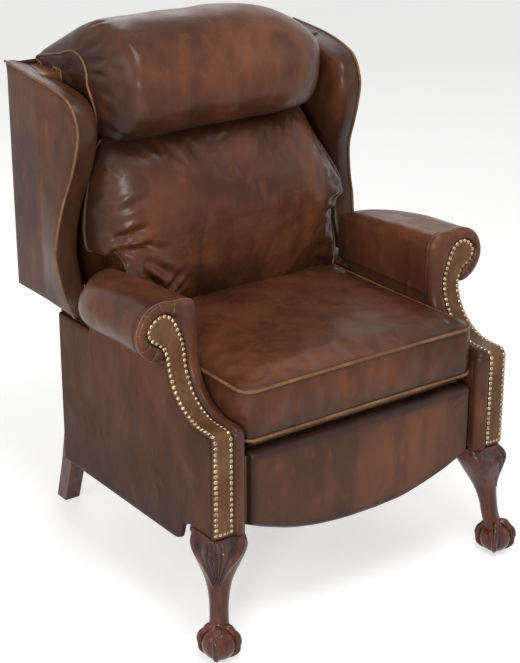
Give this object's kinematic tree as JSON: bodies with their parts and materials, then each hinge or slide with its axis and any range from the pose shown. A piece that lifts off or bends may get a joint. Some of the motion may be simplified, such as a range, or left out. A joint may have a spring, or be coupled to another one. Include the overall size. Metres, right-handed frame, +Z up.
{
  "type": "wing recliner",
  "caption": "Dark brown leather wing recliner with rolled nailed arms, a bolster headrest, carved claw-and-ball front legs, a back that tilts and a footrest on folding links.",
  "frame": {"origin": "on the floor, under the middle of the box that holds the chair", "axes": "chair faces -Y, +X is on the right of someone standing in front and looking at it, +Z up"},
  "size_m": [0.816, 0.78, 1.086],
  "materials": {
    "mahogany": "gloss",
    "frame_wood": "matte",
    "leather": "semi-gloss",
    "facing_leather": "semi-gloss",
    "steel": "satin",
    "spring_steel": "satin",
    "nylon": "matte",
    "deck_cloth": "matte",
    "webbing": "matte"
  },
  "bodies": {
    "base": {"front_leg_left": "mahogany", "front_leg_right": "mahogany", "rear_leg_left": "mahogany", "rear_leg_right": "mahogany", "arm_frame_left": "frame_wood", "arm_frame_right": "frame_wood", "side_panel_left": "leather", "side_panel_right": "leather", "arm_pad_left": "leather", "arm_pad_right": "leather", "arm_front_left": "leather", "arm_front_right": "leather", "arm_facing_left": "facing_leather", "arm_facing_right": "facing_leather", "base_rails": "frame_wood", "glue_blocks": "frame_wood", "quarter_panel_left": "leather", "quarter_panel_right": "leather", "rear_apron": "leather", "glide_rail_left": "steel", "glide_rail_right": "steel", "hinge_post_left": "steel", "hinge_post_right": "steel"},
    "seat": {"seat_frame": "frame_wood", "seat_springs": "spring_steel", "seat_deck": "deck_cloth", "seat_cushion": "leather", "link_plate_left": "steel", "link_plate_right": "steel", "glide_rollers": "nylon"},
    "drive_links": {"torque_tube": "steel", "drive_link_left": "steel", "drive_link_right": "steel"},
    "cross_links": {"cross_link_left": "steel", "cross_link_right": "steel"},
    "guide_links": {"guide_link_left": "steel", "guide_link_right": "steel"},
    "carry_links": {"carry_link_left": "steel", "carry_link_right": "steel"},
    "footrest": {"rest_bracket_left": "steel", "rest_bracket_right": "steel", "rest_board": "frame_wood", "rest_pad": "leather"},
    "back": {"back_frame": "frame_wood", "back_webs": "webbing", "inside_back": "leather", "outside_back": "leather", "hinge_arm_left": "steel", "hinge_arm_right": "steel", "wing_panel_left": "leather", "wing_panel_right": "leather", "wing_pad_left": "leather", "wing_pad_right": "leather", "wing_cap_left": "leather", "wing_cap_right": "leather", "lumbar_cushion": "leather", "head_cushion": "leather"}
  },
  "joints": [
    {"name": "back_recline", "type": "hinge", "parent": "base", "child": "back", "pos_m": [0, 0.163, 0.4], "axis": [-1, 0, 0], "range_deg": [0, 28]},
    {"name": "seat_glide", "type": "slide", "parent": "base", "child": "seat", "axis": [0, -1, 0], "range_m": [0, 0.05]},
    {"name": "footrest_drive", "type": "hinge", "parent": "seat", "child": "drive_links", "pos_m": [0, -0.262, 0.372], "axis": [-1, 0, 0], "range_deg": [0, 75]},
    {"name": "cross_pivot", "type": "hinge", "parent": "drive_links", "child": "cross_links", "pos_m": [0, -0.262, 0.322], "axis": [-1, 0, 0], "range_deg": [-150, 0]},
    {"name": "guide_pivot", "type": "hinge", "parent": "cross_links", "child": "guide_links", "pos_m": [0, -0.262, 0.394], "axis": [-1, 0, 0], "range_deg": [0, 150]},
    {"name": "carry_pivot", "type": "hinge", "parent": "drive_links", "child": "carry_links", "pos_m": [0, -0.262, 0.197], "axis": [-1, 0, 0], "range_deg": [-150, 0]},
    {"name": "footrest_pivot", "type": "hinge", "parent": "carry_links", "child": "footrest", "pos_m": [0, -0.262, 0.337], "axis": [-1, 0, 0], "range_deg": [0, 170.1]}
  ],
  "couplings": [
    {"joint": "seat_glide", "follows": "back_recline", "m_per_rad": 0.1},
    {"joint": "cross_pivot", "follows": "footrest_drive", "ratio": -2},
    {"joint": "guide_pivot", "follows": "footrest_drive", "ratio": 2},
    {"joint": "carry_pivot", "follows": "footrest_drive", "ratio": -2},
    {"joint": "footrest_pivot", "follows": "footrest_drive", "ratio": 2.2667}
  ]
}
